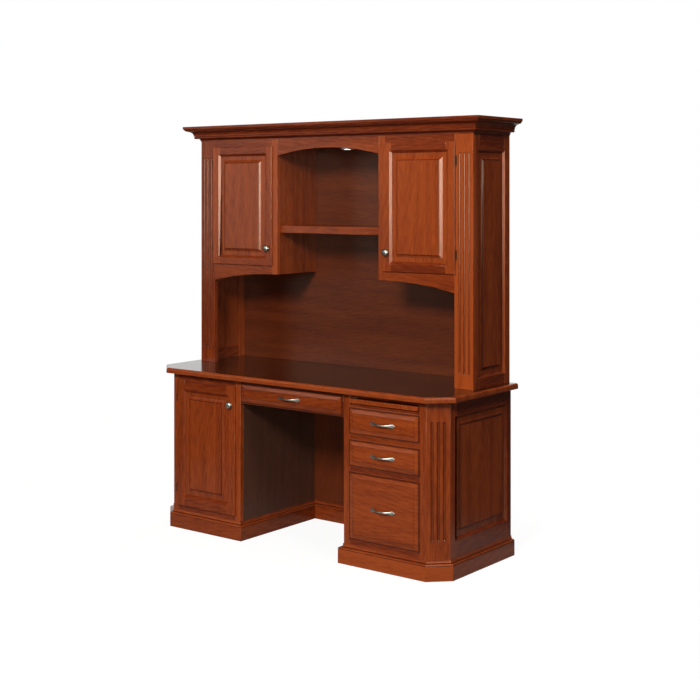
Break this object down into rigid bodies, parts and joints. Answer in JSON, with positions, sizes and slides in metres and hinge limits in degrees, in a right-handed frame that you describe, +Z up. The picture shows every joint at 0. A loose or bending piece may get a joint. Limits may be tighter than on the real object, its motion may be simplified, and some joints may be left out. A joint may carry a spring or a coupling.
{
  "type": "credenza with hutch",
  "caption": "Cherry executive credenza with clipped fluted corners, door and drawer pedestals, pull-out board and a hutch with panelled doors, arched open bay and crown moulding.",
  "frame": {"origin": "on the floor, under the middle of the desk top's length and depth", "axes": "+X to the right seen from the front, +Y to the back, +Z up"},
  "size_m": [1.72, 0.601, 1.929],
  "materials": {
    "cherry": "reddish-brown stained cherry with satin lacquer",
    "cherry_veneer": "stained cherry veneer on thin board, satin lacquer",
    "drawer_wood": "plain lacquered maple boards",
    "runner_steel": "zinc-plated sheet steel",
    "hinge_steel": "antiqued steel",
    "pewter": "cast zinc in antique pewter plating",
    "lamp_metal": "satin nickel housing with frosted lens"
  },
  "bodies": {
    "case": {"desk_top": "cherry", "base_moulding": "cherry", "corner_posts": "cherry", "end_frames": "cherry", "end_panels": "cherry", "inner_sides": "cherry", "left_face_frame": "cherry", "right_face_frame": "cherry", "drawer_liner": "cherry", "pedestal_floors": "cherry", "pedestal_backs": "cherry_veneer", "kneehole_back": "cherry_veneer", "cabinet_shelves": "cherry", "shelf_pins": "hinge_steel", "case_runners": "runner_steel", "runner_cleats": "drawer_wood", "hinge_case_leaves": "hinge_steel", "hinge_pins": "hinge_steel", "pilasters": "cherry", "hutch_end_frames": "cherry", "hutch_end_panels": "cherry", "hutch_stiles": "cherry", "hutch_top_rails": "cherry", "hutch_valances": "cherry", "hutch_partitions": "cherry", "hutch_floors": "cherry", "hutch_top": "cherry", "hutch_back": "cherry_veneer", "centre_shelf": "cherry", "crown": "cherry", "puck_light": "lamp_metal"},
    "base_door": {"base_door_frame": "cherry", "base_door_panel": "cherry", "base_door_knob": "pewter", "base_door_hinge_leaves": "hinge_steel"},
    "hutch_left_door": {"hutch_left_door_frame": "cherry", "hutch_left_door_panel": "cherry", "hutch_left_door_knob": "pewter", "hutch_left_door_hinge_leaves": "hinge_steel"},
    "hutch_right_door": {"hutch_right_door_frame": "cherry", "hutch_right_door_panel": "cherry", "hutch_right_door_knob": "pewter", "hutch_right_door_hinge_leaves": "hinge_steel"},
    "centre_drawer": {"centre_drawer_front": "cherry", "centre_drawer_box": "drawer_wood", "centre_drawer_pull": "pewter", "centre_drawer_runners": "runner_steel"},
    "drawer_1": {"drawer_1_front": "cherry", "drawer_1_box": "drawer_wood", "drawer_1_pull": "pewter", "drawer_1_runners": "runner_steel"},
    "drawer_2": {"drawer_2_front": "cherry", "drawer_2_box": "drawer_wood", "drawer_2_pull": "pewter", "drawer_2_runners": "runner_steel"},
    "drawer_3": {"drawer_3_front": "cherry", "drawer_3_box": "drawer_wood", "drawer_3_pull": "pewter", "drawer_3_runners": "runner_steel"},
    "pullout_board": {"pullout_board": "cherry"}
  },
  "joints": [
    {"name": "base_door_hinge", "type": "hinge", "parent": "case", "child": "base_door", "pos_m": [-0.7038, -0.2673, 0.4065], "axis": [0, 0, -1], "range_deg": [0, 110]},
    {"name": "hutch_left_door_hinge", "type": "hinge", "parent": "case", "child": "hutch_left_door", "pos_m": [-0.7098, -0.0083, 1.538], "axis": [0, 0, -1], "range_deg": [0, 110]},
    {"name": "hutch_right_door_hinge", "type": "hinge", "parent": "case", "child": "hutch_right_door", "pos_m": [0.7098, -0.0083, 1.538], "axis": [0, 0, 1], "range_deg": [0, 110]},
    {"name": "centre_drawer_slide", "type": "slide", "parent": "case", "child": "centre_drawer", "axis": [0, -1, 0], "range_m": [0, 0.28]},
    {"name": "drawer_1_slide", "type": "slide", "parent": "case", "child": "drawer_1", "axis": [0, -1, 0], "range_m": [0, 0.34]},
    {"name": "drawer_2_slide", "type": "slide", "parent": "case", "child": "drawer_2", "axis": [0, -1, 0], "range_m": [0, 0.34]},
    {"name": "drawer_3_slide", "type": "slide", "parent": "case", "child": "drawer_3", "axis": [0, -1, 0], "range_m": [0, 0.34]},
    {"name": "pullout_board_slide", "type": "slide", "parent": "case", "child": "pullout_board", "axis": [0, -1, 0], "range_m": [0, 0.32]}
  ]
}
